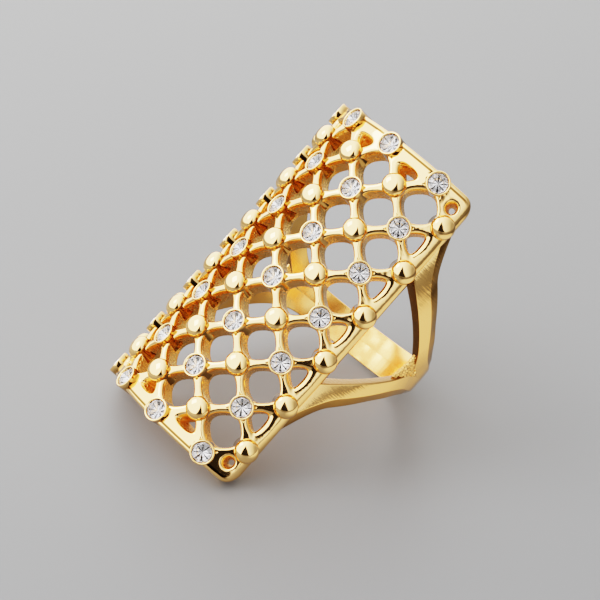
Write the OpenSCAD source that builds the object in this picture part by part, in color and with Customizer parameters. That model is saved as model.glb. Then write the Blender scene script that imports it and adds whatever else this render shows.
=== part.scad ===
// Knuckle ring: a curved lattice plate set with round clear stones and
// polished balls, carried on a forked finger band. It stands as it does when
// it is set down, on two corners of the plate and the edge of the band.

/* [Lattice] */
// Half the spacing of two neighbours in one row along the finger
step = 2.2; // [1.9:0.05:2.5]
// Turn about the finger from one row to the next, in degrees
row_turn = 14; // [12.5:0.5:15]
// Rows of balls, with a row of stones between each two
ball_rows = 5; // [3:1:5]
// Balls in one row, a row of stones has one more
balls_in_row = 6; // [4:1:6]
// Thickness of the plate
plate_t = 1.55; // [1.3:0.05:1.6]
// Width of a bar
bar_w = 0.6; // [0.5:0.02:0.7]
// Radius to which the corners of a gap reach
gap_r = 1.42; // [1.36:0.01:1.44]
// Share of a row's turn by which the walls of its gaps lean back to upright
wall_lean = 0.34; // [0:0.05:0.4]

/* [Rim] */
// Rim past the last stones, along the finger
end_reach = 0.75; // [0.5:0.05:0.9]
// Rim past the last balls, round the finger
side_reach = 1.1; // [1.05:0.05:1.3]
// Width of the rim along the two ends
end_w = 1; // [0.8:0.05:1.1]
// Width of the rim along the two sides
side_w = 1.55; // [1.3:0.05:1.7]
// Radius of the plate's corners
corner_r = 1.5; // [1.2:0.1:1.8]
// Diameter of the small hole in each corner
corner_hole_d = 1.1; // [0.9:0.05:1.2]

/* [Stones and balls] */
// Diameter of a ball
ball_d = 1.9; // [1.7:0.02:1.94]
// Outer diameter of a stone's bezel
bezel_d = 1.88; // [1.7:0.02:1.92]
// Height of a bezel over the plate
bezel_rise = 0.4; // [0.3:0.05:0.6]
// Diameter of a stone
stone_d = 1.5; // [1.3:0.05:1.55]
// Gap between a stone and its bezel
stone_gap = 0.03; // [0.02:0.01:0.06]

/* [Finger band] */
// Inner radius of the ring
finger_r = 8.3; // [8:0.05:9]
// Thickness of the band
band_t = 0.5; // [0.45:0.05:0.7]
// Extra thickness of the band at the two sides of the finger
band_swell = 0.45; // [0.1:0.05:0.6]
// Width of the band at the back of the finger
band_w = 3.1; // [2.8:0.1:3.6]
// Distance of the band from the middle of the plate, along the finger
band_shift = 1.1; // [0:0.05:1.4]
// Turn of the band about the upright line through the plate, in degrees
band_turn = 3; // [0:0.5:4]
// Depth under the middle of the finger where the arms leave the band
fork_drop = 3; // [2.6:0.05:3.2]
// Spread of an arm's outer edge for each millimetre of height
arm_spread = 0.87; // [0.8:0.01:0.92]
// Width of the window between the arms, at the plate
window_w = 9.6; // [9:0.1:10]
// Width of the window at its point
window_tip_w = 0.9; // [0.8:0.05:1.2]
// Depth of the window's point under the middle of the finger
window_drop = 2.1; // [1.8:0.05:2.3]

/* [Hidden] */
round_fn = 48;
plate_r = finger_r + plate_t;
band_r = finger_r + band_t;
hoop_r = band_r + band_swell;
half_rows = ball_rows - 1;
half_len = balls_in_row * step + end_reach;
half_turn = half_rows * row_turn + side_reach / plate_r * 180 / PI;
corner_turn = half_turn - asin(corner_r / plate_r);

// The sides and ends run this far inside the corners' round
corner_trim = 0.01;

// Place of a corner's hole, in degrees from the side and in from the end
hole_turn_in = 9.2;
hole_end_in = 1.45;

// The arms sweep out towards the plate from this height on, and end inside
// its side rim
sweep_z = 2.4;
sweep_bend = 0.52;
root_z = finger_r * cos(half_turn);
arm_into_rim = 0.6;
shoulder_inset = 0.06;
edge_steps = 8;

// How gently an arm's outer edge bends out of the band's edge, and the
// heights between which it does so
fork_bend = 0.8;
bend_low_z = -fork_drop - 3 * fork_bend;
bend_high_z = -fork_drop + 3 * fork_bend;

// The foot of a ball is a little narrower than the ball
foot_inset = 0.05;

// Stone, from its table down
table_rise = 0.43;
girdle_rise = 0.24;
girdle_t = 0.05;
crown_mid = 0.45;
crown_share = 0.82;
table_share = 0.56;
culet_share = 0.08;
pavilion_depth = 0.6;
seat_depth = 0.5;
facet_t = 0.01;

// A ball stands where the row number is even and the place is odd, a stone
// where the row number is odd and the place is even.
function odd(n) = n % 2 != 0;
row_numbers = [-half_rows : half_rows];
places = [-balls_in_row : balls_in_row];
balls = [for (i = row_numbers, j = places) if (!odd(i) && odd(j)) [i, j]];
stones = [for (i = row_numbers, j = places) if (odd(i) && !odd(j)) [i, j]];
cells = [for (i = row_numbers, j = places) if (odd(i) == odd(j) && !(abs(i) == half_rows && abs(j) == balls_in_row)) [i, j]];

// The ring leans until the inner edge of the plate's low corners and the low
// edge of the band are level. Lean is the angle of the finger line from
// upright, and low heights are measured along the floor's own upright. The
// band's outer face is round about a line band_swell above the finger line,
// so the band is thin at the back of the finger and thicker at the sides.
function corner_low(lean) = min([
    for (a = [0 : 5 : 90])
        let (x = corner_r * cos(a), y = corner_r - corner_trim - half_len - corner_r * sin(a))
            y * cos(lean) + (sqrt(finger_r * finger_r - x * x) * cos(corner_turn) - x * sin(corner_turn)) * sin(lean)
]);
function band_low(lean) =
    (band_shift - band_w / 2 / cos(band_turn)) * cos(lean) + band_swell * sin(lean)
    - hoop_r * norm([sin(lean), tan(band_turn) * cos(lean)]);
function level_lean(low, high, tries) =
    let (mid = (low + high) / 2)
        tries == 0 ? mid
        : corner_low(mid) > band_low(mid) ? level_lean(low, mid, tries - 1)
        : level_lean(mid, high, tries - 1);
lean = level_lean(20, 70, 30);

// Reach of the leaning ring along the floor, to centre it there
band_reach =
    (band_shift + band_w / 2 / cos(band_turn)) * sin(lean) - band_swell * cos(lean)
    + hoop_r * norm([cos(lean), tan(band_turn) * sin(lean)]);
bezel_reach =
    balls_in_row * step * sin(lean)
    + (plate_r + bezel_rise) * cos(row_turn) * cos(lean)
    + bezel_d / 2 * norm([sin(lean), sin(row_turn) * cos(lean)]);

function stone_name(n) = str("stone_", n + 1);

// From the ring's own frame, finger line along Y and plate on top, to rest
module at_rest() {
    translate([0, (bezel_reach - band_reach) / 2, -band_low(lean)]) rotate([90 - lean, 0, 0]) children();
}

// Stands its children at row i and place j, with Z out of the finger
module at_node(i, j) {
    translate([0, j * step, 0]) rotate([0, i * row_turn, 0]) children();
}

// A tube about the finger line
module tube(r_out, length) {
    rotate([90, 0, 0]) difference() {
        cylinder(r = r_out, h = length, center = true, $fn = 2 * round_fn);
        cylinder(r = finger_r, h = length + 2, center = true, $fn = 2 * round_fn);
    }
}

// The wedge of the finger's surroundings that the plate takes up. Its faces
// all but touch the round corners, so the side runs into the corner.
module plate_wedge() {
    far = 2 * plate_r;
    tip = (corner_trim - corner_r) / sin(corner_turn);
    side = [far * sin(corner_turn), tip + far * cos(corner_turn)];
    rotate([90, 0, 0]) linear_extrude(height = 2 * half_len + 2, center = true)
        polygon([[0, tip], side, [far, far], [-far, far], [-side[0], side[1]]]);
}

// Stands its children on the plate's face, with Z along a gap's walls
module at_gap(turn, y) {
    translate([0, y, 0]) rotate([0, turn, 0]) translate([0, 0, plate_r]) rotate([0, -wall_lean * turn, 0]) children();
}

// One gap: a diamond between four bars, with its corners rounded off
module gap_outline() {
    across = plate_r * row_turn * PI / 180;
    share = 1 - bar_w / 2 * norm([1 / across, 1 / step]);
    intersection() {
        polygon([[across * share, 0], [0, step * share], [-across * share, 0], [0, -step * share]]);
        circle(r = gap_r, $fn = round_fn);
    }
}

// A gap beside a rim is the part of one that lies inside the rim
module gap_cut(i, j) {
    far = 3;
    rim_turn = half_turn - side_w / plate_r * 180 / PI - abs(i) * row_turn;
    keep_x = abs(i) == half_rows ? plate_r * sin(rim_turn) : far;
    keep_y = abs(j) == balls_in_row ? half_len - end_w - abs(j) * step : far;
    at_gap(i * row_turn, j * step) linear_extrude(height = 3 * plate_t, center = true) intersection() {
        gap_outline();
        mirror([i < 0 ? 1 : 0, 0]) mirror([0, j < 0 ? 1 : 0]) translate([-far, -far]) square([far + keep_x, far + keep_y]);
    }
}

// Rounds the four corners and puts the small hole in each
module corner_cuts() {
    far = 3;
    for (si = [-1, 1], sj = [-1, 1]) {
        translate([0, sj * (half_len - corner_r + corner_trim), 0]) rotate([0, si * corner_turn, 0])
            translate([0, 0, finger_r - 2]) linear_extrude(height = plate_t + 4)
                to_corner(si, sj) difference() {
                    square([far, far]);
                    circle(r = corner_r, $fn = round_fn);
                }
        at_gap(si * (half_turn - hole_turn_in), sj * (half_len - hole_end_in))
            cylinder(d = corner_hole_d, h = 3 * plate_t, center = true, $fn = round_fn / 2);
    }
}

// Turns a corner drawn for +X and +Y to the side and end that are asked
module to_corner(si, sj) {
    mirror([si < 0 ? 1 : 0, 0]) mirror([0, sj < 0 ? 1 : 0]) children();
}

module plate() {
    difference() {
        intersection() {
            tube(plate_r, 2 * half_len);
            plate_wedge();
        }
        for (c = cells) gap_cut(c[0], c[1]);
        corner_cuts();
    }
}

// Outer edge of the fork's half, from the band up to the plate. It bends
// smoothly out of the band's edge, runs straight and then sweeps outwards.
function bend_out(z) = fork_bend * ln(1 + exp((z + fork_drop) / fork_bend));
function fork_half(z) =
    band_w / 2 + arm_spread * (bend_out(z) - bend_out(bend_low_z)) + sweep_bend * pow(max(0, z - sweep_z), 2);

// The two arms, the point where they meet and the band, seen from the side
module fork_outline() {
    deep = 2 * band_r;
    top_z = root_z + arm_into_rim;
    zs = concat(
        [for (k = [0 : edge_steps]) bend_low_z + (bend_high_z - bend_low_z) * k / edge_steps],
        [for (k = [0 : edge_steps]) sweep_z + (top_z - sweep_z) * k / edge_steps]
    );
    difference() {
        polygon(concat(
            [[-fork_half(zs[0]), -deep]],
            [for (z = zs) [-fork_half(z), z]],
            [for (k = [len(zs) - 1 : -1 : 0]) [fork_half(zs[k]), zs[k]]],
            [[fork_half(zs[0]), -deep]]
        ));
        polygon([
            [window_tip_w / 2, -window_drop],
            [window_w / 2, root_z],
            [window_w / 2 + 1, root_z + 1],
            [-window_w / 2 - 1, root_z + 1],
            [-window_w / 2, root_z],
            [-window_tip_w / 2, -window_drop],
        ]);
    }
}

// Outline round the finger: a round band with flat shoulders, which run from
// the plate's outer edges down to where they touch the band
module hoop_outline() {
    middle = [0, band_swell];
    edge = plate_r * [sin(half_turn), cos(half_turn)] - [shoulder_inset, 0];
    reach = edge - middle;
    touch_turn = atan2(reach[0], reach[1]) + acos(hoop_r / norm(reach));
    touch = middle + hoop_r * [sin(touch_turn), cos(touch_turn)];
    difference() {
        union() {
            translate(middle) circle(r = hoop_r, $fn = 2 * round_fn);
            polygon([[0, 0], touch, edge, [-edge[0], edge[1]], [-touch[0], touch[1]]]);
        }
        circle(r = finger_r, $fn = 2 * round_fn);
    }
}

module fork_and_band() {
    intersection() {
        rotate([90, 0, 0]) linear_extrude(height = 2 * half_len, center = true) hoop_outline();
        translate([0, band_shift, 0]) rotate([0, 0, band_turn])
            rotate([90, 0, 90]) linear_extrude(height = 4 * band_r, center = true) fork_outline();
    }
}

// A ball on its short foot
module ball() {
    translate([0, 0, plate_r]) sphere(d = ball_d, $fn = round_fn);
    translate([0, 0, finger_r + plate_t / 3]) cylinder(r = ball_d / 2 - foot_inset, h = plate_t * 2 / 3, $fn = round_fn);
}

module bezel() {
    translate([0, 0, finger_r + plate_t / 3])
        cylinder(d = bezel_d, h = plate_t * 2 / 3 + bezel_rise, $fn = round_fn);
}

module seat() {
    translate([0, 0, plate_r - seat_depth])
        cylinder(r = stone_d / 2 + stone_gap, h = seat_depth + 2, $fn = round_fn);
}

module ring_body() {
    color("gold") at_rest() difference() {
        union() {
            plate();
            fork_and_band();
            for (b = balls) at_node(b[0], b[1]) ball();
            for (s = stones) at_node(s[0], s[1]) bezel();
        }
        for (s = stones) at_node(s[0], s[1]) seat();
    }
}

// A thin level polygon of a cut stone, at a height over the plate
module facet_ring(r, rise, sides, turn) {
    translate([0, 0, plate_r + rise]) rotate([0, 0, turn]) cylinder(r = r, h = facet_t, $fn = sides);
}

// Round brilliant: table, crown, girdle and pointed pavilion
module stone(n) {
    r = stone_d / 2;
    crown = table_rise - girdle_rise;
    color("aliceblue") at_rest() at_node(stones[n][0], stones[n][1]) hull() {
        facet_ring(r * table_share, table_rise - facet_t, 8, 0);
        facet_ring(r * crown_share, girdle_rise + crown * crown_mid, 8, 180 / 8);
        facet_ring(r, girdle_rise, 16, 0);
        facet_ring(r, girdle_rise - girdle_t, 16, 0);
        facet_ring(r * culet_share, girdle_rise - pavilion_depth, 8, 0);
    }
}

ring_body();
for (n = [0 : len(stones) - 1]) {
    stone(n);
}
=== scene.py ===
# Knuckle ring: a gold lattice plate with clear stones and balls on a forked finger band
from math import cos, hypot, pi, radians, sin, tan

import bmesh
import bpy
import numpy as np
from mathutils import Matrix, Vector


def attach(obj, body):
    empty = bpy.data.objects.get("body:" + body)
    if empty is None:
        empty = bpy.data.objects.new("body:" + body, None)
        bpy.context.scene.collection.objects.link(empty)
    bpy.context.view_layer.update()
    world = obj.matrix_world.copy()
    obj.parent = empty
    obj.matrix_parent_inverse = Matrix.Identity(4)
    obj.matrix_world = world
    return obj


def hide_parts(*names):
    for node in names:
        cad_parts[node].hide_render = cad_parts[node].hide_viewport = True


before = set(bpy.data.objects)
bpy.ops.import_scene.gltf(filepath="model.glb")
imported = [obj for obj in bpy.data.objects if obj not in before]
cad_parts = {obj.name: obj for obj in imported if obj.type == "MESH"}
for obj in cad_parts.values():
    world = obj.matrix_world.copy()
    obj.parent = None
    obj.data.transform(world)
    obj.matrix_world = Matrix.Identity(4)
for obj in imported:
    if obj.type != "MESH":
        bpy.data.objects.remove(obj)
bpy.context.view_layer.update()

# the ring's own frame, in mm: x across the finger, y along it, z out through the plate
ring = dict(
    fingerR=8.3, plateT=1.55, step=2.2, rowTurn=radians(14), halfRows=4, halfPlaces=6,
    endReach=0.75, sideReach=1.1, bezelR=0.94, bezelRise=0.4,
    bandHalf=1.55, bandShift=1.1, bandTurn=radians(3), hoopR=9.25, hoopRise=0.45, lean=radians(45.5133),
)
plateR = ring["fingerR"] + ring["plateT"]
rowStep = ring["rowTurn"] * plateR
placeStep = ring["step"]
nodeStep = np.array([rowStep, placeStep])
sideS = ring["halfRows"] * rowStep + ring["sideReach"]
endY = ring["halfPlaces"] * placeStep + ring["endReach"]


def restPlace():
    # the leaning band's low edge lies on the floor, and the ring's reach along the floor is centred
    a = ring
    s, c = sin(a["lean"]), cos(a["lean"])
    bandEnd = a["bandHalf"] / cos(a["bandTurn"])
    skew = tan(a["bandTurn"])
    bandLow = (a["bandShift"] - bandEnd) * c + a["hoopRise"] * s - a["hoopR"] * hypot(s, skew * c)
    bandReach = (a["bandShift"] + bandEnd) * s - a["hoopRise"] * c + a["hoopR"] * hypot(c, skew * s)
    bezelReach = a["halfPlaces"] * placeStep * s + (plateR + a["bezelRise"]) * cos(a["rowTurn"]) * c
    bezelReach += a["bezelR"] * hypot(s, sin(a["rowTurn"]) * c)
    return (bezelReach - bandReach) / 2, -bandLow


restY, restZ = restPlace()


def toRest(p):
    # leans the ring's own frame down to where it rests, and turns mm into metres
    s, c = sin(ring["lean"]), cos(ring["lean"])
    x, y, z = p[..., 0], p[..., 1], p[..., 2]
    return np.stack([x, s * y - c * z + restY, c * y + s * z + restZ], -1) * 0.001


def smooth(x):
    # an even rise from 0 to 1
    x = np.clip(x, 0, 1)
    return x * x * (3 - 2 * x)


def rise(x, span):
    # the same rise, between the two ends of a span
    return smooth((x - span[0]) / (span[1] - span[0]))


def onPlate(s, y, depth):
    # a point at arc length s and place y, some depth under the plate's face. The deeper it is the
    # further it lies from upright, by a share of its own turn that fades out towards the sides.
    turn = s / plateR
    r = plateR - depth
    fade = smooth((sideS - abs(s)) / lattice["leanFade"])
    turn = turn + depth * np.tan(lattice["wallLean"] * fade * turn) / r
    return np.stack([r * np.sin(turn), y + 0 * r, r * np.cos(turn)], -1)


def gridQuads(pieces, rows, columns, closeRows=False, closeColumns=False):
    # the faces of a grid of points, for a number of like pieces one after the other
    u = np.arange(rows if closeRows else rows - 1)
    v = np.arange(columns if closeColumns else columns - 1)
    u, v = np.meshgrid(u, v, indexing="ij")
    u2, v2 = (u + 1) % rows, (v + 1) % columns
    quad = np.stack([u * columns + v, u2 * columns + v, u2 * columns + v2, u * columns + v2], -1)
    return (quad.reshape(1, -1, 4) + np.arange(pieces).reshape(-1, 1, 1) * rows * columns).reshape(-1, 4)


def meshPiece(name, points, quads, materials, weld=2e-7, crease=None, marks=None, faceSlots=None):
    # one object from points in the ring's own frame; doubles are welded, so seams and poles close
    mesh = bpy.data.meshes.new(name)
    co = toRest(points.reshape(-1, 3)).astype(np.float32)
    mesh.vertices.add(len(co))
    mesh.vertices.foreach_set("co", co.ravel())
    mesh.loops.add(quads.size)
    mesh.loops.foreach_set("vertex_index", quads.astype(np.int32).ravel())
    mesh.polygons.add(len(quads))
    mesh.polygons.foreach_set("loop_start", np.arange(0, quads.size, 4, dtype=np.int32))
    mesh.update(calc_edges=True)
    for key, value in (marks or {}).items():
        kind, part = ("FLOAT_VECTOR", "vector") if value.shape[-1] == 3 else ("FLOAT", "value")
        mesh.attributes.new(key, kind, "POINT").data.foreach_set(part, value.astype(np.float32).ravel())
    if faceSlots is not None:
        mesh.polygons.foreach_set("material_index", faceSlots.astype(np.int32))
    bm = bmesh.new()
    bm.from_mesh(mesh)
    bmesh.ops.remove_doubles(bm, verts=bm.verts, dist=weld)
    bmesh.ops.dissolve_degenerate(bm, edges=bm.edges, dist=weld)
    bmesh.ops.recalc_face_normals(bm, faces=bm.faces)
    bm.to_mesh(mesh)
    bm.free()
    mesh.polygons.foreach_set("use_smooth", np.full(len(mesh.polygons), crease != 0))
    if crease:
        mesh.set_sharp_from_angle(angle=radians(crease))
    piece = bpy.data.objects.new(name, mesh)
    bpy.context.scene.collection.objects.link(piece)
    for material in materials:
        mesh.materials.append(material)
    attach(piece, "root")
    return piece


class Wire:
    # a socket that can be reckoned with: a number or another wire on either side
    def __init__(self, tree, socket):
        self.tree, self.socket = tree, socket

    def maths(self, operation, *others):
        values = dict(enumerate((self,) + others))
        return addNode(self.tree, "ShaderNodeMath", {"operation": operation}, values)

    def __add__(self, other):
        return self.maths("ADD", other)

    def __sub__(self, other):
        return self.maths("SUBTRACT", other)

    def __mul__(self, other):
        return self.maths("MULTIPLY", other)

    def __rsub__(self, other):
        return addNode(self.tree, "ShaderNodeMath", {"operation": "SUBTRACT"}, {0: other, 1: self})

    __radd__, __rmul__ = __add__, __mul__

    def size(self):
        return self.maths("ABSOLUTE")

    def clamped(self):
        return addNode(self.tree, "ShaderNodeClamp", {}, {0: self})


def addNode(tree, kind, settings=None, inputs=None, output=0):
    # one node: its settings first, then the values or links of its sockets
    node = tree.nodes.new(kind)
    for key, value in (settings or {}).items():
        setattr(node, key, value)
    for key, value in (inputs or {}).items():
        if isinstance(value, Wire):
            tree.links.new(value.socket, node.inputs[key])
        else:
            node.inputs[key].default_value = value
    return Wire(tree, node.outputs[output]) if len(node.outputs) else None


def mixColours(tree, amount, start, stop):
    return addNode(tree, "ShaderNodeMix", {"data_type": "RGBA"}, {0: amount, 6: start, 7: stop}, output=2)


def newMaterial(name):
    material = bpy.data.materials.new(name)
    material.use_nodes = True
    material.node_tree.nodes.clear()
    return material, material.node_tree


def finishMaterial(tree, shader):
    addNode(tree, "ShaderNodeOutputMaterial", {}, {"Surface": shader})


# waves and grains are counted a metre and heights are in metres; the painted dark reflection line lies so
# many mm from the rim's edge
goldLook = dict(
    polished=(1.0, 0.61, 0.25, 1), deep=(0.84, 0.45, 0.14, 1), paintedShadeAndReflectionTint=(0.17, 0.08, 0.02, 1),
    paintedShadeTint=0.35, grainTint=0.9, satinTint=0.75,
    roughness=0.06, cavityRoughness=0.3, satinRoughness=0.14, waveRoughness=0.03,
    waveSize=1800.0, waveHeight=0.000012, grainSize=5200.0, grainHeight=0.00009,
    streakHeight=0.0000035, rippleHeight=0.000014,
    linePlace=0.36, lineHalf=0.11, lineEdge=2.2,
)


def goldMaterial(look):
    # plated gold: polished outside, the casting's grain left in the gaps with a painted shade deepening
    # them, satin inside the band with polishing streaks along it, painted shade in the crevices, painted
    # dark reflections on the rails' facets and a painted dark reflection line beside each end's edge
    material, tree = newMaterial("plated_gold")
    place = addNode(tree, "ShaderNodeTexCoord", output="Object")
    grainAndPaintedShade, satin, paintedShadeAndReflection, fromRim, endRim = (
        addNode(tree, "ShaderNodeAttribute", {"attribute_name": key}, output="Fac")
        for key in ("grainAndPaintedShade", "satin", "paintedShadeAndReflection", "fromRim", "endRim")
    )
    drawn = addNode(tree, "ShaderNodeAttribute", {"attribute_name": "drawn"}, output="Vector")
    wave, grain, streak = (
        addNode(tree, "ShaderNodeTexNoise", {}, {"Vector": vector, "Scale": size, "Detail": detail})
        for vector, size, detail in (
            (place, look["waveSize"], 1.0), (place, look["grainSize"], 2.0), (drawn, 1.0, 2.0)
        )
    )
    # painted shade: wherever the grain mark lies the colour goes deeper, by a flat share and by the grain's
    # uneven tone
    deepShare = grainAndPaintedShade * (look["paintedShadeTint"] + grain * look["grainTint"]) + satin * look["satinTint"]
    tint = mixColours(tree, deepShare.clamped(), look["polished"], look["deep"])
    # a painted dark reflection line beside each end rim's edge, added to the painted shade and reflections
    # of the attribute
    paintedReflectionLine = (1 - (fromRim - look["linePlace"]).size() * (1 / look["lineHalf"])) * look["lineEdge"]
    dark = (paintedShadeAndReflection + paintedReflectionLine.clamped() * endRim).clamped()
    tint = mixColours(tree, dark, tint, look["paintedShadeAndReflectionTint"])
    rough = (
        look["roughness"] + grainAndPaintedShade * look["cavityRoughness"] * grain + satin * look["satinRoughness"]
        + wave * look["waveRoughness"]
    )
    height = (
        wave * look["waveHeight"] * (1 - satin) + grainAndPaintedShade * grain * look["grainHeight"]
        + streak * (look["streakHeight"] + satin * look["rippleHeight"])
    )
    bump = addNode(tree, "ShaderNodeBump", {}, {"Height": height, "Distance": 1.0, "Strength": 1.0})
    shader = addNode(
        tree, "ShaderNodeBsdfPrincipled", {},
        {"Base Color": tint, "Metallic": 1.0, "Roughness": rough, "Normal": bump},
    )
    finishMaterial(tree, shader)
    return material


# for each foil: its brightness, how metallic it is and its roughness
crystalLook = dict(
    clear=(0.98, 0.98, 1, 1), lightBend=1.5, foilBlue=1.03,
    # the dark foil is a painted dark reflection
    foils={"crystal_foil": (0.98, 0.72, 0.1), "crystal_foil_painted_dark_reflection": (0.03, 0.6, 0.18)},
)


def crystalMaterials(look):
    # a clear crown, the silver foil that the back facets carry, and a dark foil on some facets that is a
    # painted dark reflection
    crown, tree = newMaterial("crystal_clear")
    inputs = {
        "Base Color": look["clear"], "Roughness": 0.0, "IOR": look["lightBend"], "Transmission Weight": 1.0,
    }
    finishMaterial(tree, addNode(tree, "ShaderNodeBsdfPrincipled", {}, inputs))
    foils = [crown]
    for name, (silver, metal, rough) in look["foils"].items():
        foil, tree = newMaterial(name)
        colour = (silver, silver, silver * look["foilBlue"], 1)
        inputs = {"Base Color": colour, "Metallic": metal, "Roughness": rough}
        finishMaterial(tree, addNode(tree, "ShaderNodeBsdfPrincipled", {}, inputs))
        foils.append(foil)
    return foils


gold = goldMaterial(goldLook)
crystals = crystalMaterials(crystalLook)
print("materials made")

# lattice: gaps between bars, each with a rounded edge, and a rim round the whole plate
lattice = dict(
    wallLean=0.34, leanFade=1.6, backEdge=0.12, backClear=0.02, samples=8, middle=0.4, faceReach=1.425,
    edgeSteps=7, faceSteps=9, wallSteps=6,
    holeTurn=radians(53.2), holeY=12.5, holeR=0.5, holeTaper=0.3,
    # the seats' pits; then how the grain and its painted shade fade in down a wall, how far from the wall
    # they reach, and from which place and by how much there is more of both along the end rims
    pitDepth=0.55, pitR=0.66, pitWall=0.22, grainAndPaintedShadeFade=0.25, grainAndPaintedShadeReach=0.05, roughFrom=5.1, endsGrainAndPaintedShade=1.7,
    # for a bar, the side rim, the end rim, a corner's hole and a bar beside the end rim: how far the
    # metal reaches from the line through the nodes, the width and depth of the gap's rounded edge, and
    # the slant of its wall
    reach=(0.29, 0.38, 0.3, 0, 0.29), edge=(0.3, 0.75, 0.16, 0.2, 0.3),
    edgeDepth=(0.27, 0.42, 0.12, 0.2, 0.27), slant=(0.1, 0.16, 0.5, 0, 0.4),
)
# for each kind of gap: which of those five its sides are, and the power and the limit of its roundness
gaps = dict(
    full=((0, 0, 0, 0), (2.7, 4)), side=((0, 0, 1), (3.4, 1.0)), end=((4, 4, 2), (3.4, 1.0)),
    hole=((3,), None),
)

# the plate's outline: how its corners and upper edges are rounded, and how fast the painted dark
# reflection line along the end rims fades where the side begins
rim = dict(cornerR=1.35, sideRound=0.95, sideDrop=0.6, endRound=0.3, endDrop=0.26, lineFade=2.5)


def fromOutline(s, y):
    # the distance to the plate's outline, and the side's share of it: 0 at an end, 1 at a side
    r = rim["cornerR"]
    ds, dy = abs(s) - sideS + r, abs(y) - endY + r
    corner = (ds > 0) & (dy > 0)
    inside = np.where(corner, r - np.hypot(ds, dy), r - np.maximum(ds, dy))
    return inside, np.where(corner, np.cos(np.arctan2(dy, ds)) ** 2, ds > dy)


def rimDrop(s, y):
    # the face falls away to the plate's outline along a quarter ellipse, whose width and depth change
    # round each corner from the side's to the end's
    a = rim
    inside, sideShare = fromOutline(s, y)
    width = a["endRound"] + (a["sideRound"] - a["endRound"]) * sideShare
    drop = a["endDrop"] + (a["sideDrop"] - a["endDrop"]) * sideShare
    x = np.clip(1 - inside / width, 0, 1)
    return drop * (1 - np.sqrt(1 - x * x))


def seatPit(s, y):
    # the metal sinks under each stone, by the distance to the nearest odd row and even place
    row = 2 * np.round((s / rowStep - 1) / 2) + 1
    place = 2 * np.round(y / placeStep / 2)
    away = np.hypot(s - row * rowStep, y - place * placeStep)
    return lattice["pitDepth"] * smooth((lattice["pitR"] - away) / lattice["pitWall"])


def alongLoop(corners):
    # even steps along the straight lines from corner to corner
    along = np.linspace(0, 1, lattice["samples"], endpoint=False)[:, None]
    after = np.roll(corners, -1, axis=1)
    steps = corners[:, :, None] + (after - corners)[:, :, None] * along
    return steps.reshape(len(corners), -1, 2)


def gapWalls(centres, ray, lines, sides, roundness):
    # how far the wall stands from a gap's middle at the face and at the finger, along each ray, and the
    # share that each side has in it. One over the distance is a p-norm of one over the limit and, for
    # each side, the cosine to its normal over the free distance to it.
    reach, slant = (np.array(lattice[key])[list(sides)] for key in ("reach", "slant"))
    if lines is None:
        wallR = np.full(ray.shape[:2], lattice["holeR"])
        return wallR, wallR - lattice["holeTaper"], np.ones(wallR.shape + (1,))
    power, limit = roundness
    ends = np.roll(lines, -1, axis=1)
    side = (ends - lines)[:, :len(sides)]
    normal = np.stack([side[..., 1], -side[..., 0]], -1)
    normal /= np.linalg.norm(normal, axis=-1, keepdims=True)
    outwards = ((lines[:, :len(sides)] - centres[:, None]) * normal).sum(-1)
    normal *= np.sign(outwards)[..., None]
    free = abs(outwards) - reach
    facing = np.clip(np.einsum("mpc,mkc->mpk", ray, normal), 0, None)
    share, backShare = ((facing / room[:, None]) ** power for room in (free, free - slant))
    wallR, backR = ((part.sum(-1) + limit ** -power) ** (-1 / power) for part in (share, backShare))
    return wallR, backR, share / share.sum(-1, keepdims=True)


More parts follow.
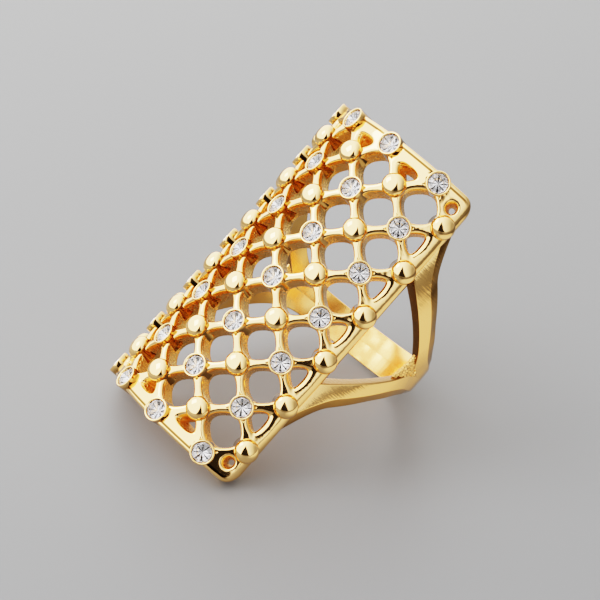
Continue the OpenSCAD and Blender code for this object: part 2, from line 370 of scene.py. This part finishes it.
def gapSkins(kind, centres, outer, lines=None):
    # the skin of the metal round each gap: from the line where two gaps meet, a profile runs over the
    # face and its rounded edge, down the wall and back along the underside
    a = lattice
    sides, roundness = gaps[kind]
    ray = outer - centres[:, None]
    ray /= np.linalg.norm(ray, axis=-1, keepdims=True)
    wallR, backR, share = gapWalls(centres, ray, lines, sides, roundness)
    full = np.linalg.norm(outer - centres[:, None] - ray * wallR[..., None], axis=-1)
    edgeR = np.minimum(full, share @ np.array(a["edge"])[list(sides)])
    edgeD = share @ np.array(a["edgeDepth"])[list(sides)]

    bend = np.linspace(0, pi / 2, a["edgeSteps"])
    out = np.linspace(0, pi / 2, a["faceSteps"])
    back, t = a["backEdge"], ring["plateT"]
    none = np.zeros_like(full)
    face = np.minimum(full - edgeR, a["faceReach"])
    top = [(full - face * (1 - sin(b)), none) for b in out[::-1]]
    top += [(edgeR * (1 - sin(b)), edgeD * (1 - cos(b))) for b in bend]
    wall = [(none, edgeD + (t - back - edgeD) * k) for k in np.linspace(0, 1, a["wallSteps"])[1:]]
    under = [(back * (1 - cos(b)) + none, t - back + back * sin(b) + none) for b in bend[2::2]]
    fromWall, depth = (np.stack(part, -1) for part in zip(*top, *wall, *under, (full, t + none)))
    # the wall slants inwards with depth; the gap keeps its width down to the finger, while the rows
    # draw closer together
    wallAt = wallR[..., None] + (backR - wallR)[..., None] * depth / t
    wallPlace = centres[:, None, None] + ray[:, :, None] * wallAt[..., None]
    middle = centres[:, 0, None, None]
    wallS = middle + (wallPlace[..., 0] - middle) * plateR / (plateR - depth)
    part = fromWall / full[..., None]
    s = wallS + (outer[..., 0, None] - wallS) * part
    y = wallPlace[..., 1] + (outer[..., 1, None] - wallPlace[..., 1]) * part
    topSide = np.arange(depth.shape[-1]) < len(top)
    drop = rimDrop(s, y)
    lowest = np.maximum(depth, a["backClear"] + edgeD[..., None] + drop)
    depth = np.minimum(np.where(topSide, depth + drop + seatPit(s, y), lowest), t)
    # the casting's grain is on the walls, and with it a painted shade that deepens their colour; there is
    # more of both in the gaps along the end rims
    grainAndPaintedShade = smooth((depth - edgeD[..., None]) / a["grainAndPaintedShadeFade"]) * (fromWall < a["grainAndPaintedShadeReach"])
    grainAndPaintedShade *= np.where(abs(y) > a["roughFrom"] * placeStep, a["endsGrainAndPaintedShade"], 1)
    # the way in from the outline, for the painted dark reflection line along the end rims, which fades at
    # the corners
    inside, sideShare = fromOutline(s, y)
    marks = [grainAndPaintedShade, inside + depth, 1 - smooth(rim["lineFade"] * sideShare)]
    return onPlate(s, y, depth), [mark.ravel() for mark in marks]


def rimFaces(pieces, rows, columns, first, last):
    # closes the skin from top to underside where it reaches the plate's outline
    u = np.arange(first, last)
    start = np.stack([u, (u + 1) % rows], -1) * columns
    under = start + columns - 1
    quad = np.stack([start[:, 0], under[:, 0], under[:, 1], start[:, 1]], -1)
    return (quad + np.arange(pieces)[:, None, None] * rows * columns).reshape(-1, 4)


def halfGaps(sign, along):
    # the half gaps along one side rim or, with along at 1, along one end rim: for each of them the
    # three nodes round it, and where the outer two meet the outline
    a = lattice
    counts = np.array([ring["halfRows"], ring["halfPlaces"]])
    at = np.arange(2 - counts[1 - along], counts[1 - along], 2, dtype=float)
    middle = np.full((len(at), 2), float(sign * counts[along]))
    middle[:, 1 - along] = at
    step = np.eye(2)[1 - along]
    inwards = -sign * np.eye(2)[along]
    nodes = np.stack([middle - step, middle + inwards, middle + step], 1) * nodeStep
    rimEnds = nodes[:, [2, 0]].copy()
    rimEnds[..., along] = sign * (sideS, endY)[along]
    centres = (middle + inwards * a["middle"]) * nodeStep
    return centres, alongLoop(np.concatenate([nodes, rimEnds], 1)), nodes


def cornerLoop():
    # round a corner: from its ball to its stone, out to the end rim, round the outline and back, with
    # the number of the first and the last step on the outline
    a = lattice
    n = a["samples"]
    r = rim["cornerR"]
    bend = np.radians(np.linspace(0, 90, 13))
    ball = np.array([ring["halfRows"], ring["halfPlaces"] - 1]) * nodeStep
    stone = np.array([ring["halfRows"] - 1, ring["halfPlaces"]]) * nodeStep
    arc = np.stack([sideS - r + r * np.sin(bend), endY - r + r * np.cos(bend)], -1)
    foot, head = np.array([sideS, ball[1]]), np.array([stone[0], endY])
    ways = [np.linspace(start, end, n, endpoint=False) for start, end in (
        (ball, stone), (stone, head), (head, arc[0]), (arc[-1], foot), (foot, ball)
    )]
    loop = np.concatenate(ways[:3] + [arc, ways[3][1:], ways[4]])
    return loop, (2 * n, len(loop) - n)


def makeLattice():
    # the skins of all gaps, side by side: the full gaps, the half gaps along each rim and the corners'
    # holes, closed with a wall where they reach the plate's outline
    a = lattice
    rows, places = ring["halfRows"], ring["halfPlaces"]
    full = np.array([
        (i, j) for i in range(1 - rows, rows) for j in range(1 - places, places) if (i + j) % 2 == 0
    ], float)
    around = np.array([(1, 0), (0, 1), (-1, 0), (0, -1)])
    nodes = (full[:, None] + around) * nodeStep
    # for each set of gaps: its kind, the gaps, and which steps of their loops lie on the outline
    sets = [("full", (full * nodeStep, alongLoop(nodes), nodes), None)]
    onRim = 3 * a["samples"], 4 * a["samples"]
    for sign in (-1, 1):
        sets += [("side", halfGaps(sign, 0), onRim), ("end", halfGaps(sign, 1), onRim)]
    loop, onCorner = cornerLoop()
    hole = np.array([[a["holeTurn"] * plateR, a["holeY"]]])
    for mirror in ((1, 1), (-1, 1), (-1, -1), (1, -1)):
        sets.append(("hole", (hole * mirror, (loop * mirror)[None]), onCorner))
    points, quads, marks, start = [], [], [], 0
    for kind, gap, rimRows in sets:
        skin, mark = gapSkins(kind, *gap)
        quads.append(gridQuads(*skin.shape[:3], closeRows=True) + start)
        if rimRows:
            quads.append(rimFaces(*skin.shape[:3], *rimRows) + start)
        points.append(skin.reshape(-1, 3))
        marks.append(mark)
        start += len(points[-1])
    marks = dict(zip(("grainAndPaintedShade", "fromRim", "endRim"), (np.concatenate(parts) for parts in zip(*marks))))
    return meshPiece("lattice_and_rim", np.concatenate(points), np.concatenate(quads), [gold],
                     weld=1e-6, marks=marks)


latticePiece = makeLattice()
print("lattice and rim made")


def nodePlaces(oddRows):
    # balls stand in the even rows at odd places, stones in the odd rows at even places
    rows, places = ring["halfRows"], ring["halfPlaces"]
    return np.array([
        (i, j) for i in range(-rows, rows + 1) for j in range(-places, places + 1)
        if i % 2 == oddRows and j % 2 == 1 - oddRows
    ], float)


def lathe(nodes, radius, height, steps):
    # turns a profile of radius and height about the line out of the finger at each node
    spin = np.arange(steps) * 2 * pi / steps
    x = radius[:, None] * np.cos(spin)
    y = radius[:, None] * np.sin(spin)
    turn = (nodes[:, 0] * ring["rowTurn"])[:, None, None]
    z = plateR + height[:, None] + 0 * x
    points = np.stack([
        x * np.cos(turn) + z * np.sin(turn), y + (nodes[:, 1] * placeStep)[:, None, None] + 0 * turn,
        z * np.cos(turn) - x * np.sin(turn),
    ], -1)
    return points, gridQuads(len(nodes), len(radius), steps, closeColumns=True)


def feet(points, paintedShadeAndReflection):
    # paints each ring of a lathed profile with as much painted shade as it says
    return {"paintedShadeAndReflection": np.broadcast_to(paintedShadeAndReflection[:, None], points.shape[:-1]).ravel()}


ball = dict(
    radius=0.95, rise=0.76, flatness=2.35, foot=0.9, footFlare=0.02, footTop=(-0.12, -0.2), footDepth=1.1,
    paintedShadeTop=0.2, paintedShadeAndReflection=0.75, domeSteps=18, steps=40, crease=50,
)


def makeBalls():
    # a dome, flatter on top than a sphere: the powers of radius over its foot and of height over its
    # rise add up to one. It runs down into a short round foot.
    a = ball
    down = np.linspace(0, pi / 2, a["domeSteps"])
    power = 2 / a["flatness"]
    footR = [a["foot"] + a["footFlare"], a["foot"], a["foot"], 0]
    radius = np.concatenate([a["radius"] * np.sin(down) ** power, footR])
    height = np.concatenate([a["rise"] * np.cos(down) ** power, a["footTop"], [-a["footDepth"]] * 2])
    points, quads = lathe(nodePlaces(0), radius, height, a["steps"])
    # painted shade round each ball's foot, where it meets the bars
    marks = feet(points, a["paintedShadeAndReflection"] * smooth((a["paintedShadeTop"] - height) / a["paintedShadeTop"]))
    return meshPiece("balls", points, quads, [gold], crease=a["crease"], marks=marks)


ballPiece = makeBalls()
print("balls made")

bezel = dict(inner=0.79, lip=0.07, floor=0.5, foot=1.1, paintedShadeAndReflection=0.7, lipSteps=9, steps=40, crease=50)


def makeBezels():
    # a round cup: outer wall, rounded lip, inner wall and floor
    a = bezel
    outer, inner, floor = ring["bezelR"], a["inner"], a["floor"]
    over = np.linspace(0, pi, a["lipSteps"])
    lipR = (outer + inner) / 2 + (outer - inner) / 2 * np.cos(over)
    radius = np.concatenate([[0, outer, outer], lipR, [inner, 0]])
    lipHeight = ring["bezelRise"] - a["lip"] + a["lip"] * np.sin(over)
    height = np.concatenate([[-a["foot"], -a["foot"], 0], lipHeight, [-floor, -floor]])
    points, quads = lathe(nodePlaces(1), radius, height, a["steps"])
    # painted shade where the wall meets the bars, and inside the cup under the stone's edge
    marks = feet(points, a["paintedShadeAndReflection"] * (height <= 0))
    return meshPiece("bezels", points, quads, [gold], crease=a["crease"], marks=marks)


bezelPiece = makeBezels()
print("bezels made")

stone = dict(
    radius=0.75, table=0.43, star=0.345, girdle=0.24, girdleLow=0.19, lower=0.05, culet=-0.4,
    tableR=0.42, starR=0.6, lowerR=0.62, pair=0.065, uneven=0.035, unevenTurn=2.3, sides=8,
)


def makeStones():
    # round brilliants: seven rings of sixteen points from the table's middle to the culet. Even points
    # carry the kites and the long back facets, odd points the stars.
    a = stone
    sides = a["sides"]
    flat = cos(pi / sides)
    # on a kite's midline, between the table's corner and the girdle, at the height that keeps it flat
    kite = (a["starR"] * flat - a["tableR"]) / (a["radius"] - a["tableR"])
    kiteHeight = a["table"] + (a["girdle"] - a["table"]) * kite
    backKite = a["lowerR"] * flat / a["radius"]
    backHeight = a["culet"] + (a["girdleLow"] - a["culet"]) * backKite
    top, bottom = (0, a["table"]), (0, a["culet"])
    girdle = [(a["radius"], a["girdle"]), (a["radius"], a["girdleLow"])]
    even = [top, (a["tableR"], a["table"]), (a["starR"] * flat, kiteHeight)]
    even += girdle + [(a["radius"] * backKite, backHeight), bottom]
    odd = [top, (a["tableR"] * flat, a["table"]), (a["starR"], a["star"])]
    odd += girdle + [(a["lowerR"], a["lower"]), bottom]
    profile = np.stack([np.array(even), np.array(odd)] * sides, 1)
    # the points of the lowest ring stand in close pairs, one to each side of a narrow facet, and a
    # little unevenly
    rings, around = profile.shape[:2]
    count = np.arange(around)
    spins = np.repeat(count[None] * pi / sides, rings, 0)
    spins[-2] += np.where(count % 2, 1, -1) * a["pair"] + a["uneven"] * np.sin(a["unevenTurn"] * count)
    # the two lowest rows of facets carry the foil, with the dark foil, a painted dark reflection, on the
    # narrow ones of the lowest row
    foiled = np.repeat(np.array([0, 0, 0, 0, 1, 1]), around)
    foiled[-around + 1::2] = 2
    x = profile[..., 0] * np.cos(spins)
    y = profile[..., 0] * np.sin(spins)
    z = plateR + profile[..., 1]
    for n, (row, place) in enumerate(nodePlaces(1)):
        c, s = cos(row * ring["rowTurn"]), sin(row * ring["rowTurn"])
        points = np.stack([x * c + z * s, y + place * placeStep, z * c - x * s], -1)
        name = "stone_%d" % (n + 1)
        quads = gridQuads(1, rings, around, closeColumns=True)
        piece = meshPiece("cut_" + name, points, quads, crystals, crease=0, faceSlots=foiled)
        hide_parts(name)


makeStones()
print("stones made")

# fork and band: two rails that lie side by side in the band and part to form each fork
fork = dict(
    drop=3.0, bend=0.8, bendFrom=2.4, spread=0.87, sweepZ=2.4, sweep=0.52,
    tip=0.45, tipDrop=2.1, windowHalf=4.8, windowZ=3.846, soft=0.18, rootRise=0.15, overlap=0.02,
    # turns round the finger from the plate to the back, and the steps between them
    turns=(radians(59.5), radians(100), radians(135), pi), steps=(60, 50, 36), riseFrom=radians(75),
    # heights between which the band becomes the fork, the window opens and the arms take their shape
    forkSpan=(-7, -4), openSpan=(-4.3, -2.7), creaseSpan=(-3.8, -1), facetSpan=(-4.2, -3.2),
    armSpan=(-1.6, 0), valleySpan=(-2.6, -0.6),
    # the crease between face and facet as a share of the width, and how far the facet drops: in the
    # band, at the crotch and on an arm. Then how far the face sinks to the window, at the crotch and on
    # an arm, and how much lower the crease lies in the band.
    crease=(0.6, 0.72, 0.56), facet=(0.4, 0.13, 0.3), valley=(0.3, 0.12), creaseSink=0.25,
    # the most that the facet may take of the thickness, and a corner's rounding of each side
    facetMost=0.5, roundMost=0.45, cornerSteps=6,
    # the corners' radii: at the seam, and what opening adds to it under and over the window's edge, at
    # the crease in the band and on the fork, and at the two outer corners
    seamRound=0.01, underRound=0.09, windowRound=0.13, creaseRound=(0.4, 0.11), outerRound=(0.12, 0.1),
    # the grain and painted shade by the window, the painted shade there, the painted dark reflection on the
    # facet, and the face's satin
    windowGrainAndPaintedShade=0.2, windowPaintedShade=0.9, facetPaintedReflection=0.68, faceSatin=0.4,
    # the noise along a rail: length of a streak across and along it, of a ripple, and the noise's start
    streak=(0.13, 2.5), ripple=(12, 1.1), drawnFrom=50,
)


def softRamp(x, soft):
    # nothing far below zero and x itself far above it, with a bend between them some soft lengths wide:
    # soft times the logarithm of one plus e to the power of x over soft
    return soft * np.log1p(np.exp(x / soft))


def outerEdge(z):
    # half width of the fork: the band's edge, a smooth bend into a straight arm, and a sweep outwards
    a = fork
    reach = np.clip(softRamp(z + a["drop"], a["bend"]) - softRamp(-a["bendFrom"], a["bend"]), 0, None)
    return ring["bandHalf"] + a["spread"] * reach + a["sweep"] * np.clip(z - a["sweepZ"], 0, None) ** 2


def innerEdge(z):
    # half width of the window between the arms: a straight slope that closes softly to a point
    a = fork
    slope = (a["windowHalf"] - a["tip"]) / (a["windowZ"] + a["tipDrop"])
    return slope * softRamp(z + a["tipDrop"] + a["tip"] / slope, a["soft"])


def onHoop(x, u, z):
    # a point at some distance u from the band's own middle line
    turn = ring["bandTurn"]
    return np.stack([x, ring["bandShift"] + u / cos(turn) + x * tan(turn), z], -1)


def railSection(mid, thick, width):
    # a rail's cross-section as shares of its width and thickness, for each turn: a face, a crease and a
    # slanted facet towards its outer edge. Each corner is rounded by a parabola between its two sides.
    a = fork
    toFork, opened = rise(mid, a["forkSpan"]), rise(mid, a["openSpan"])
    low, tight, wide = a["crease"]
    crease = low + (tight - low) * toFork + (wide - tight) * rise(mid, a["creaseSpan"])
    bandDrop, forkDrop, armDrop = a["facet"]
    bandDrop = np.minimum(bandDrop, a["facetMost"] * thick)
    facet = bandDrop + (forkDrop - bandDrop) * rise(mid, a["facetSpan"])
    facet += (armDrop - forkDrop) * rise(mid, a["armSpan"])
    valley = opened * (a["valley"][0] + (a["valley"][1] - a["valley"][0]) * rise(mid, a["valleySpan"]))
    none = np.zeros_like(mid)
    creaseAt = 1 - a["creaseSink"] * facet / thick * (1 - toFork)
    places = ((0, 0), (0, 1 - valley / thick), (crease, creaseAt), (1, 1 - facet / thick), (1, 0))
    corners = np.stack([np.stack([x + none, y + none], -1) for x, y in places], 1)
    bandRound, forkRound = a["creaseRound"]
    rounds = np.stack([
        a["seamRound"] + a["underRound"] * opened, a["seamRound"] + a["windowRound"] * opened,
        bandRound + (forkRound - bandRound) * toFork, a["outerRound"][0] + none, a["outerRound"][1] + none,
    ], 1)
    size = np.stack([width, thick], -1)[:, None]
    sized = corners * size
    ends = []
    for way in (1, -1):
        aside = np.roll(sized, way, axis=1) - sized
        length = np.linalg.norm(aside, axis=-1, keepdims=True)
        cut = np.minimum(rounds[..., None], a["roundMost"] * length)
        ends.append((sized + aside / length * cut)[:, :, None])
    p = np.linspace(0, 1, a["cornerSteps"])[:, None]
    curve = (1 - p) ** 2 * ends[0] + 2 * p * (1 - p) * sized[:, :, None] + p * p * ends[1]
    return curve.reshape(len(mid), -1, 2) / size


def railMarks(turn, mid, r, u, sign):
    # a rail is rough, with painted shade, towards the window, painted dark on the outer facet of the fork as
    # a painted reflection, satin towards the finger and a little on its face, and drawn lengthwise
    a = fork
    steps = a["cornerSteps"]
    corner = (np.arange(r.shape[1]) + steps // 2) // steps
    window, facet, inside = corner == 1, corner == 3, (corner == 0) | (corner >= 5)
    opened, toFork = rise(mid, a["openSpan"])[:, None], rise(mid, a["forkSpan"])[:, None]
    fine = np.where(inside[:, None], a["ripple"], a["streak"])
    return {
        "grainAndPaintedShade": window * opened * a["windowGrainAndPaintedShade"],
        "paintedShadeAndReflection": window * opened * a["windowPaintedShade"] + facet * toFork * a["facetPaintedReflection"],
        "satin": np.where(inside, 1, a["faceSatin"]) + 0 * r,
        "drawn": np.stack([
            u / fine[:, 0] + a["drawnFrom"], turn[:, None] * r / fine[:, 1], sign + 0 * r,
        ], -1),
    }


def makeRails():
    # along the turn round the finger a rail's two edges follow the fork's outline, and its outer radius
    # is a circle's whose middle lies above the finger line
    a = fork
    spans = list(zip(a["turns"], a["turns"][1:], a["steps"]))
    turn = np.concatenate([np.linspace(start, stop, count)[:-1] for start, stop, count in spans])
    turn = np.concatenate([turn, [pi], 2 * pi - turn[::-1]])
    side = np.minimum(turn, 2 * pi - turn)
    hoopRise = ring["hoopRise"]
    outR = hoopRise * np.cos(side) + np.sqrt(ring["hoopR"] ** 2 - (hoopRise * np.sin(side)) ** 2)
    outR += a["rootRise"] * rise(side, (a["riseFrom"], a["turns"][0]))
    thick = outR - ring["fingerR"]
    mid = (ring["fingerR"] + outR) / 2 * np.cos(side)
    section = railSection(mid, thick, outerEdge(mid) - innerEdge(mid))
    r = ring["fingerR"] + section[..., 1] * thick[:, None]
    z = r * np.cos(turn)[:, None]
    inner, outer = innerEdge(z), outerEdge(z)
    u = inner - a["overlap"] + section[..., 0] * (outer - inner + a["overlap"])
    points, quads, marks = [], [], []
    for n, sign in enumerate((-1, 1)):
        rail = onHoop(r * np.sin(turn)[:, None], sign * u, z)
        # a point closes each end
        ends = [np.repeat(end.mean(1, keepdims=True), rail.shape[1], 1) for end in (rail[:1], rail[-1:])]
        rail = np.concatenate([ends[0], rail, ends[1]])
        quads.append(gridQuads(1, *rail.shape[:2], closeColumns=True) + n * rail[..., 0].size)
        points.append(rail.reshape(-1, 3))
        sets = railMarks(turn, mid, r, u, sign).items()
        marks.append({key: np.concatenate([mark[:1], mark, mark[-1:]]) for key, mark in sets})
    marks = {key: np.stack([mark[key] for mark in marks]) for key in marks[0]}
    marks = {key: mark.reshape(-1, 3) if mark.ndim == 4 else mark.ravel() for key, mark in marks.items()}
    return meshPiece("fork_and_band", np.concatenate(points), np.concatenate(quads), [gold],
                     crease=35, marks=marks)


railPiece = makeRails()
print("fork and band made")

web = dict(
    lowZ=-3.75, topAt=(-1, -0.7, -0.3, 0.2, 1), topZ=(-1.0, -0.75, -1.0, -1.2, -1.15),
    into=0.25, intoRise=0.9, faceR=8.86, backR=8.34, rows=64, columns=56, topEdge=8, lowEdge=10, sideEdge=8,
    grain=0.8,
    # the knobs: size, share of the finer waves, then each wave's turn in radians a millimetre, across and
    # up. Each sway has a size, its turns across and up, and a start.
    knobs=0.06, finer=0.6, coarseWaves=((8.3, 3.1), (-2.6, 9.7)), fineWaves=((15, -6), (7, 13)),
    sways=((1.8, 2, 4.1, 0), (2.1, 5.3, 3.7, 1.1)),
    # the pit and its rim: place, radius of the rim, its height and width, the pit's depth and width
    eye=(-0.05, -2.85), eyeR=0.2, eyeRim=(0.1, 0.07), eyePit=(0.12, 0.12),
)


def webKnobs(u, z):
    # the sum of two products of crossed sine waves, each bent sideways by a slower wave
    swayA, swayB = (size * np.sin(across * u + up * z + start) for size, across, up, start in web["sways"])
    coarse, fine = (
        [across * u + up * z for across, up in web[key]] for key in ("coarseWaves", "fineWaves")
    )
    finer = np.sin(fine[0] + swayB) * np.sin(fine[1] + swayA)
    return np.sin(coarse[0] + swayA) * np.sin(coarse[1] + swayB) + web["finer"] * finer


def makeWebs():
    # the rough casting left in each crotch: a patch between the arms up to an uneven top edge. Its face
    # is a radius, with knobs and a ring-shaped bump round a pit, both Gauss curves of the distance.
    # Its thickness runs out at the edges like a superellipse's.
    a = web
    along, across = np.linspace(0, 1, a["rows"]), np.linspace(-1, 1, a["columns"])
    along, across = np.meshgrid(along, across, indexing="ij")
    top = np.interp(across, a["topAt"], a["topZ"])
    z = a["lowZ"] + (top - a["lowZ"]) * along
    u = across * (innerEdge(z) + a["into"] * np.sqrt(np.clip((z - a["lowZ"]) / a["intoRise"], 0, 1)))
    eye = np.hypot(u - a["eye"][0], z - a["eye"][1])
    rim, pit = a["eyeRim"], a["eyePit"]
    bump = rim[0] * np.exp(-((eye - a["eyeR"]) / rim[1]) ** 2) - pit[0] * np.exp(-(eye / pit[1]) ** 2)
    face = a["faceR"] + a["knobs"] * webKnobs(u, z) + bump
    full = 1
    for reach, power in ((along, a["topEdge"]), (1 - along, a["lowEdge"]), (across, a["sideEdge"])):
        full = full * np.sqrt(np.clip(1 - reach ** power, 0, 1))
    middle = (face + a["backR"]) / 2
    points, quads = [], []
    for sign in (-1, 1):
        # the two sheets meet along all four edges, so welding closes them
        for skin in (face, a["backR"]):
            r = middle + (skin - middle) * full
            sheet = onHoop(sign * np.sqrt(r * r - z * z), u, z)
            quads.append(gridQuads(1, *z.shape) + len(points) * z.size)
            points.append(sheet.reshape(-1, 3))
    # the grain mark, which also deepens the colour here as a painted shade
    return meshPiece("crotch_webs", np.concatenate(points), np.concatenate(quads), [gold],
                     weld=1e-7, marks={"grainAndPaintedShade": np.full(4 * z.size, a["grain"])})


webPiece = makeWebs()
for piece in (latticePiece, ballPiece, bezelPiece, railPiece, webPiece):
    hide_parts("ring_body")
print("webs made")

floorLook = dict(
    reach=1.2, colour=(0.29, 0.295, 0.31, 1), roughness=0.5,
    # seen in the gold's mirror only: the painted dark reflection away from the ring, then the painted glow
    # beside it
    far=(0.035, 0.06), paintedDarkReflectionColour=(0.03, 0.03, 0.03, 1),
    patchPlace=(0.034, 0.013, 0), patchEdge=(0.028, 0.019), paintedGlowStrength=0.85, paintedGlowColour=(1.0, 0.84, 0.6, 1),
)


def shareOf(value, span):
    # 0 at the span's start, 1 at its end and even between them
    return ((value - span[0]) * (1 / (span[1] - span[0]))).clamped()


def floorMaterial():
    # plain and pale. In the gold's mirror only, it is painted dark away from the ring, a painted dark
    # reflection, and carries a painted glow to the ring's right that stands in for a white sheet lying
    # there.
    a = floorLook
    material, tree = newMaterial("pale_floor")
    place = addNode(tree, "ShaderNodeTexCoord", output="Object")
    away = addNode(tree, "ShaderNodeVectorMath", {"operation": "LENGTH"}, {0: place}, output=1)
    measure = {"operation": "DISTANCE"}
    fromPatch = addNode(tree, "ShaderNodeVectorMath", measure, {0: place, 1: a["patchPlace"]}, output=1)
    mirrored = addNode(tree, "ShaderNodeLightPath", output="Is Glossy Ray")
    # painted dark reflection: in the mirror the floor turns dark away from the ring
    colour = mixColours(tree, shareOf(away, a["far"]) * mirrored, a["colour"], a["paintedDarkReflectionColour"])
    # painted glow to the ring's right, seen in the mirror only
    patch = shareOf(fromPatch, a["patchEdge"]) * mirrored
    glow = mixColours(tree, patch, (0, 0, 0, 1), a["paintedGlowColour"])
    inputs = {
        "Base Color": colour, "Roughness": a["roughness"], "Emission Color": glow,
        "Emission Strength": a["paintedGlowStrength"],
    }
    finishMaterial(tree, addNode(tree, "ShaderNodeBsdfPrincipled", {}, inputs))
    return material


def makeFloor():
    half = floorLook["reach"]
    corners = [(-half, -half, 0), (half, -half, 0), (half, half, 0), (-half, half, 0)]
    mesh = bpy.data.meshes.new("floor")
    mesh.from_pydata(corners, [], [(0, 1, 2, 3)])
    mesh.materials.append(floorMaterial())
    piece = bpy.data.objects.new("floor", mesh)
    bpy.context.scene.collection.objects.link(piece)


makeFloor()

keyLight = dict(place=(-0.10, -0.13, 0.20), target=(0, 0, 0.01), size=(0.14, 0.12), power=0.22)


def makeKeyLight():
    a = keyLight
    data = bpy.data.lights.new("key", "AREA")
    data.shape = "RECTANGLE"
    data.size, data.size_y = a["size"]
    data.energy = a["power"]
    lamp = bpy.data.objects.new("key", data)
    lamp.location = a["place"]
    lamp.rotation_euler = (Vector(a["target"]) - Vector(a["place"])).to_track_quat("-Z", "Y").to_euler()
    bpy.context.scene.collection.objects.link(lamp)


makeKeyLight()

tent = dict(
    # light of the tent on its left and right, of its opening, and of the backdrop that the camera sees
    left=3.2, right=0.42, opening=0.03, backdrop=0.55, diffuseShare=0.32, colour=(1.0, 0.985, 0.95, 1),
    # the directions to the opening and to its right, and where the light falls off between the sides
    front=(0.816, -0.578, 0), across=(0.578, 0.816, 0), turn=(-0.1, 0.9),
    openHalf=0.45, openTop=0.95, openEdge=(0, 0.06), frontEdge=(0, 0.05),
)


def makeTent():
    # the world is a white tent with a dark opening, where the camera looks in, that narrows upwards
    a = tent
    world = bpy.data.worlds.new("studio")
    bpy.context.scene.world = world
    world.use_nodes = True
    tree = world.node_tree
    tree.nodes.clear()
    towards = addNode(tree, "ShaderNodeTexCoord", output="Generated")
    up = addNode(tree, "ShaderNodeSeparateXYZ", {}, {0: towards}, output=2)
    dot = {"operation": "DOT_PRODUCT"}
    front, across = (
        addNode(tree, "ShaderNodeVectorMath", dot, {0: towards, 1: a[key]}, output=1)
        for key in ("front", "across")
    )
    bright = a["left"] + shareOf(across, a["turn"]) * (a["right"] - a["left"])
    width = a["openHalf"] * (1 - up * (1 / a["openTop"]))
    opening = shareOf(width - across.size(), a["openEdge"]) * shareOf(front, a["frontEdge"])
    strength = bright * (1 - opening) + opening * a["opening"]
    diffuse = addNode(tree, "ShaderNodeLightPath", output="Is Diffuse Ray")
    seen = addNode(tree, "ShaderNodeLightPath", output="Is Camera Ray")
    strength = strength * (1 - diffuse * (1 - a["diffuseShare"]))
    strength = strength * (1 - seen) + seen * a["backdrop"]
    light = addNode(tree, "ShaderNodeBackground", {}, {"Color": a["colour"], "Strength": strength})
    addNode(tree, "ShaderNodeOutputWorld", {}, {"Surface": light})


makeTent()

cameraAt = dict(
    place=(88.833, -60.898, 72.223), right=(0.53481, 0.84061, 0.08574),
    ahead=(-0.70605, 0.50032, -0.50117), lens=96.226, sensor=36, nearest=0.005,
)


def makeCamera():
    # its right is set square to where it looks, and its up stands on both
    data = bpy.data.cameras.new("camera")
    data.lens = cameraAt["lens"]
    data.sensor_width = cameraAt["sensor"]
    data.clip_start = cameraAt["nearest"]
    shot = bpy.data.objects.new("camera", data)
    ahead = Vector(cameraAt["ahead"]).normalized()
    right = Vector(cameraAt["right"])
    right = (right - ahead * right.dot(ahead)).normalized()
    up = right.cross(ahead)
    turn = Matrix((right, up, -ahead)).transposed().to_4x4()
    turn.translation = Vector(cameraAt["place"]) * 0.001
    shot.matrix_world = turn
    bpy.context.scene.collection.objects.link(shot)
    bpy.context.scene.camera = shot


makeCamera()
bpy.context.scene.view_settings.view_transform = "Filmic"
bpy.context.scene.view_settings.look = "High Contrast"
print("stage, lights and camera made")
